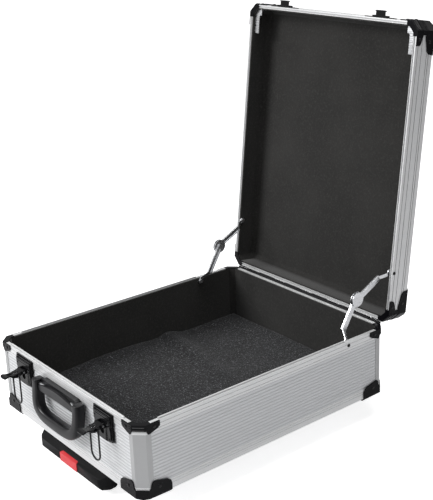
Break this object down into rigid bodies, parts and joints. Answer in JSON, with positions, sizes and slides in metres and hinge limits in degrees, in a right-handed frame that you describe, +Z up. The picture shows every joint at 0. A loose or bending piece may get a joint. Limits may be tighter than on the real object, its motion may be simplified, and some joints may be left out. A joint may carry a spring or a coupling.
{
  "type": "laptop hard case",
  "caption": "Aluminium-edged hard case with a hinged lid on folding stays, draw latches, a carry handle and a telescopic trolley with wheels.",
  "frame": {"origin": "on the floor under the middle of the object's outline, lid standing open", "axes": "+X to the right seen from the latch side, +Y from the latches to the hinge, +Z up"},
  "size_m": [0.3656, 0.5798, 0.5946],
  "materials": {
    "edge_profile": "satin anodised extrusion",
    "panel": "ribbed silver laminate on board",
    "flat_panel": "smooth silver laminate on board",
    "corner": "glossy black moulding",
    "lining": "short charcoal pile",
    "foam": "speckled dark foam",
    "rivet": "black painted",
    "zinc": "bright zinc plate",
    "latch_black": "glossy black enamel",
    "hinge_black": "dull black paint",
    "lock": "polished",
    "handle_black": "half-gloss black moulding",
    "grip_black": "satin black moulding",
    "button_red": "glossy red moulding",
    "bracket_black": "black moulding",
    "tube": "anodised tube",
    "foot": "matt black rubber",
    "wheel": "grey nylon",
    "tyre": "matt black tread"
  },
  "bodies": {
    "base": {"base_front_panel": "panel", "base_rear_panel": "panel", "base_left_panel": "panel", "base_right_panel": "panel", "base_floor_panel": "flat_panel", "base_edge_profile": "edge_profile", "base_rim_profile": "edge_profile", "base_corner_posts": "edge_profile", "base_rim_caps": "corner", "base_bottom_caps": "corner", "base_lining": "lining", "base_rivets": "rivet", "base_stay_rivets": "zinc", "floor_foam": "foam", "hinge_base_leaf": "hinge_black", "hinge_pin": "zinc", "latch_plates": "latch_black", "latch_pins": "zinc", "handle_bracket": "handle_black", "handle_pins": "zinc", "trolley_outer_tubes": "tube", "trolley_front_bracket": "bracket_black", "trolley_rear_bracket": "bracket_black", "rest_feet": "foot", "standing_feet": "foot", "wheel_brackets": "bracket_black", "wheel_axles": "zinc"},
    "lid": {"lid_frame": "edge_profile", "lid_top_panel": "panel", "lid_lining": "lining", "lid_rim_caps": "corner", "lid_top_caps": "corner", "lid_corner_clips": "zinc", "lid_rivets": "rivet", "latch_keepers": "latch_black", "hinge_lid_leaf": "hinge_black", "lid_stay_rivets": "zinc"},
    "handle": {"handle_grip": "handle_black"},
    "trolley_mid": {"trolley_mid_tubes": "tube"},
    "trolley_pull": {"trolley_inner_tubes": "tube", "trolley_grip_front": "grip_black", "trolley_grip_rear": "grip_black"},
    "button": {"trolley_button": "button_red"},
    "stay_lower_left": {"stay_lower_left": "zinc"},
    "stay_upper_left": {"stay_upper_left": "zinc"},
    "lever_left": {"latch_lever_left": "latch_black", "lock_barrel_left": "lock"},
    "bail_left": {"latch_bail_left": "latch_black"},
    "wheel_left": {"wheel_left": "wheel", "tyre_left": "tyre"},
    "stay_lower_right": {"stay_lower_right": "zinc"},
    "stay_upper_right": {"stay_upper_right": "zinc"},
    "lever_right": {"latch_lever_right": "latch_black", "lock_barrel_right": "lock"},
    "bail_right": {"latch_bail_right": "latch_black"},
    "wheel_right": {"wheel_right": "wheel", "tyre_right": "tyre"}
  },
  "joints": [
    {"name": "lid_hinge", "type": "hinge", "parent": "base", "child": "lid", "pos_m": [0, 0.1926, 0.1442], "axis": [1, 0, 0], "range_deg": [0, 97]},
    {"name": "stay_lower_left_pivot", "type": "hinge", "parent": "base", "child": "stay_lower_left", "pos_m": [-0.1675, 0.1126, 0.1376], "axis": [1, 0, 0], "range_deg": [0, 117.23]},
    {"name": "stay_upper_left_pivot", "type": "hinge", "parent": "lid", "child": "stay_upper_left", "pos_m": [-0.1709, 0.20652, 0.22309], "axis": [1, 0, 0], "range_deg": [-118.85, 0]},
    {"name": "stay_lower_right_pivot", "type": "hinge", "parent": "base", "child": "stay_lower_right", "pos_m": [0.1675, 0.1126, 0.1376], "axis": [1, 0, 0], "range_deg": [0, 117.23]},
    {"name": "stay_upper_right_pivot", "type": "hinge", "parent": "lid", "child": "stay_upper_right", "pos_m": [0.1709, 0.20652, 0.22309], "axis": [1, 0, 0], "range_deg": [-118.85, 0]},
    {"name": "latch_lever_left_pivot", "type": "hinge", "parent": "base", "child": "lever_left", "pos_m": [-0.104, -0.2585, 0.1216], "axis": [1, 0, 0], "range_deg": [0, 76]},
    {"name": "latch_bail_left_pivot", "type": "hinge", "parent": "lever_left", "child": "bail_left", "pos_m": [-0.104, -0.26723, 0.11942], "axis": [1, 0, 0], "range_deg": [-256.1, 0]},
    {"name": "latch_lever_right_pivot", "type": "hinge", "parent": "base", "child": "lever_right", "pos_m": [0.104, -0.2585, 0.1216], "axis": [1, 0, 0], "range_deg": [0, 76]},
    {"name": "latch_bail_right_pivot", "type": "hinge", "parent": "lever_right", "child": "bail_right", "pos_m": [0.104, -0.26723, 0.11942], "axis": [1, 0, 0], "range_deg": [-256.1, 0]},
    {"name": "handle_pivot", "type": "hinge", "parent": "base", "child": "handle", "pos_m": [0, -0.2595, 0.123], "axis": [-1, 0, 0], "range_deg": [0, 95]},
    {"name": "trolley_mid_slide", "type": "slide", "parent": "base", "child": "trolley_mid", "axis": [0, -1, 0], "range_m": [0, 0.27]},
    {"name": "trolley_pull_slide", "type": "slide", "parent": "trolley_mid", "child": "trolley_pull", "axis": [0, -1, 0], "range_m": [0, 0.265]},
    {"name": "release_button_slide", "type": "slide", "parent": "trolley_pull", "child": "button", "axis": [0, 1, 0], "range_m": [0, 0.004], "stiffness_N_per_m": 200},
    {"name": "wheel_left_spin", "type": "hinge", "parent": "base", "child": "wheel_left", "pos_m": [-0.096, 0.202, 0.027], "axis": [1, 0, 0], "continuous": true},
    {"name": "wheel_right_spin", "type": "hinge", "parent": "base", "child": "wheel_right", "pos_m": [0.096, 0.202, 0.027], "axis": [1, 0, 0], "continuous": true}
  ],
  "couplings": [
    {"joint": "stay_lower_left_pivot", "follows": "lid_hinge", "ratio": 1.208},
    {"joint": "stay_upper_left_pivot", "follows": "lid_hinge", "ratio": -1.2248},
    {"joint": "stay_lower_right_pivot", "follows": "lid_hinge", "ratio": 1.208},
    {"joint": "stay_upper_right_pivot", "follows": "lid_hinge", "ratio": -1.2248},
    {"joint": "latch_bail_left_pivot", "follows": "latch_lever_left_pivot", "ratio": -3.3684},
    {"joint": "latch_bail_right_pivot", "follows": "latch_lever_right_pivot", "ratio": -3.3684}
  ]
}
